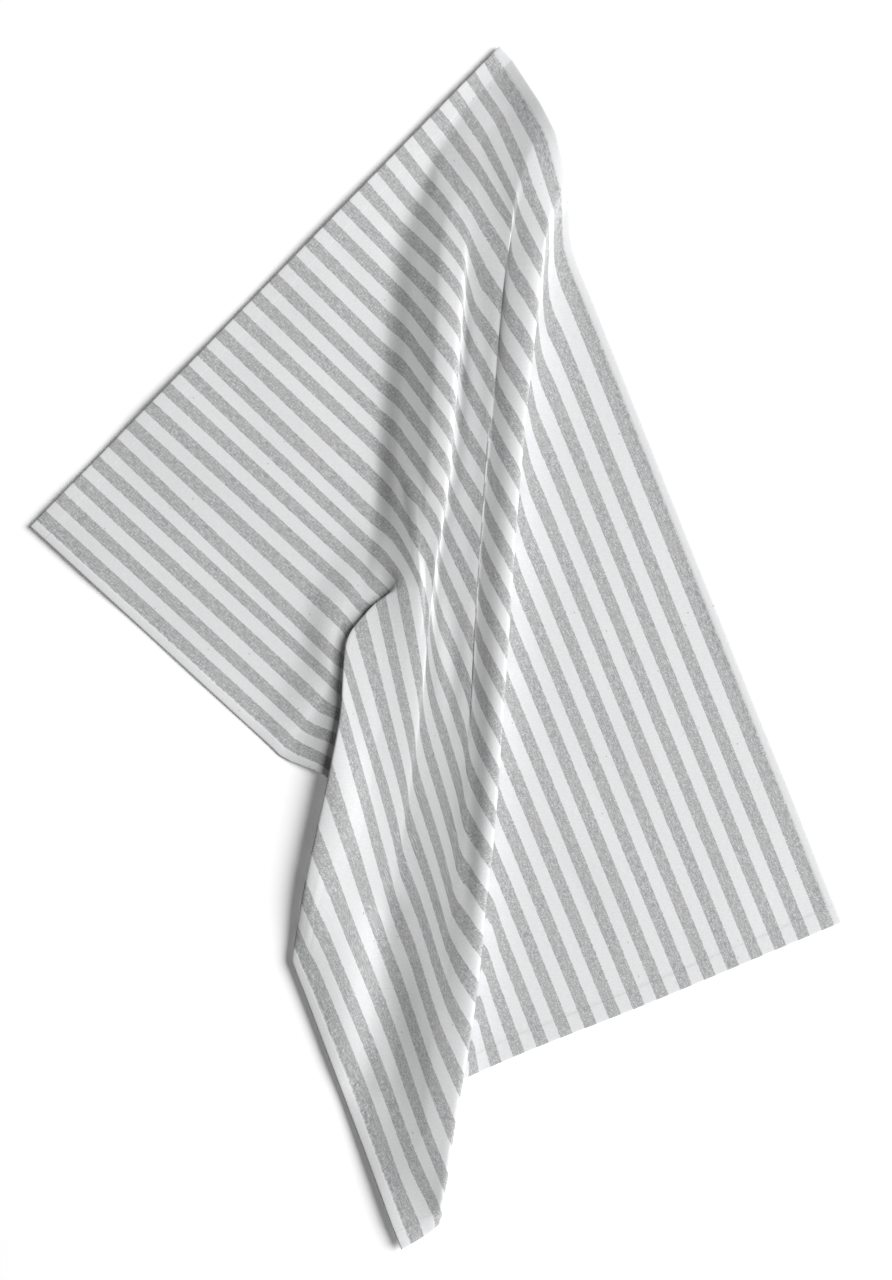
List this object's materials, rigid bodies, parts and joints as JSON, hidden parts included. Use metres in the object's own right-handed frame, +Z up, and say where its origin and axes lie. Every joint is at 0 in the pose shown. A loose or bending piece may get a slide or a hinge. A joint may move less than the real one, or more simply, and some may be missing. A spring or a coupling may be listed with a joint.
{
  "type": "tea towel",
  "caption": "Striped cotton tea towel lying where it was dropped, one part flat, the rest in leaning pleats with a folded-back flap.",
  "frame": {"origin": "bottom centre of the towel's box, on the surface that it lies on", "axes": "+Z up from the surface; +Y towards the upper end of the lying towel, +X towards its lower right corner"},
  "size_m": [0.604, 0.894, 0.0244],
  "materials": {
    "striped_cotton": "plain woven cotton, matt, with lengthwise white and grey melange stripes"
  },
  "bodies": {
    "root": {"towel": "striped_cotton"}
  },
  "joints": []
}
